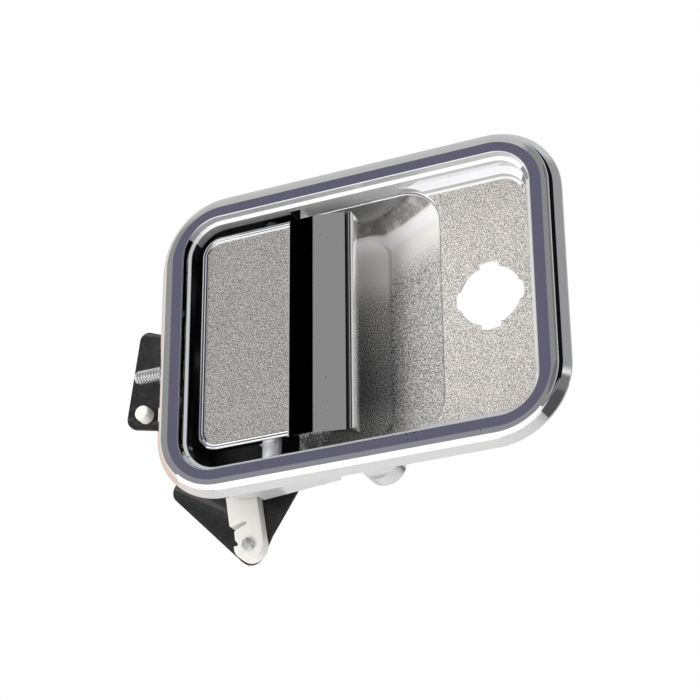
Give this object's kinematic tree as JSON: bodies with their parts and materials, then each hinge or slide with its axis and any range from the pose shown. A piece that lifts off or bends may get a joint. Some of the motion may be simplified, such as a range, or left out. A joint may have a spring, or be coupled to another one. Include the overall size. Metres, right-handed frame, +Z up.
{
  "type": "recessed paddle door handle",
  "caption": "Flush chromed door handle: bezel and finger pocket, hinged pull paddle, lock cylinder hole, rear release and lock levers with a rod clip.",
  "frame": {"origin": "middle of the bottom run of the gasket, on its door side", "axes": "+X to the right seen from outside the door, +Y into the door, +Z up"},
  "size_m": [0.1987, 0.0395, 0.1449],
  "materials": {
    "chrome": "mirror plate with sand-textured panels",
    "black_steel": "black coated",
    "spring_steel": "plain",
    "zinc_plate": "bright zinc",
    "nylon": "natural",
    "rubber": "matte"
  },
  "bodies": {
    "housing": {"bezel_housing": "chrome", "door_gasket": "rubber", "hinge_pin": "zinc_plate", "hinge_clip_top": "spring_steel", "hinge_clip_bottom": "spring_steel", "paddle_spring": "spring_steel", "lever_spring": "spring_steel", "back_plate": "black_steel", "back_plate_screw_1": "zinc_plate", "back_plate_screw_2": "zinc_plate", "back_plate_screw_3": "zinc_plate", "back_plate_screw_4": "zinc_plate", "lever_pivot": "zinc_plate", "lock_lever_pivot": "zinc_plate", "side_stud": "zinc_plate", "side_stud_nut": "zinc_plate", "side_stud_locknut": "zinc_plate", "mounting_stud_upper": "zinc_plate", "mounting_stud_lower": "zinc_plate", "mounting_washer_upper": "zinc_plate", "mounting_washer_lower": "zinc_plate", "mounting_nut_upper": "zinc_plate", "mounting_nut_lower": "zinc_plate", "rest_bumper": "rubber"},
    "paddle": {"paddle": "chrome", "paddle_tail": "spring_steel", "tail_roller": "nylon", "roller_axle": "zinc_plate", "tail_screw": "zinc_plate"},
    "release_lever": {"release_lever": "black_steel", "clip_pin": "zinc_plate"},
    "rod_clip": {"rod_clip": "nylon"},
    "lock_lever": {"lock_lever": "black_steel", "lock_lever_bush": "nylon"}
  },
  "joints": [
    {"name": "paddle_pull", "type": "hinge", "parent": "housing", "child": "paddle", "pos_m": [-0.0386, 0.0052, 0.0602], "axis": [0, 0, -1], "range_deg": [0, 25], "stiffness_Nm_per_rad": 1.2, "springref_deg": -20.05},
    {"name": "release_swing", "type": "hinge", "parent": "housing", "child": "release_lever", "pos_m": [-0.038, 0.0292, 0.0242], "axis": [0, 1, 0], "range_deg": [0, 15.2]},
    {"name": "clip_swivel", "type": "hinge", "parent": "release_lever", "child": "rod_clip", "pos_m": [-0.0576, 0.0238, -0.0138], "axis": [0, 1, 0], "range_deg": [-12, 12]},
    {"name": "lock_swing", "type": "hinge", "parent": "housing", "child": "lock_lever", "pos_m": [-0.075, 0.0262, 0.0682], "axis": [0, 1, 0], "range_deg": [-10, 10]}
  ],
  "couplings": [
    {"joint": "release_swing", "follows": "paddle_pull", "ratio": 0.6}
  ]
}
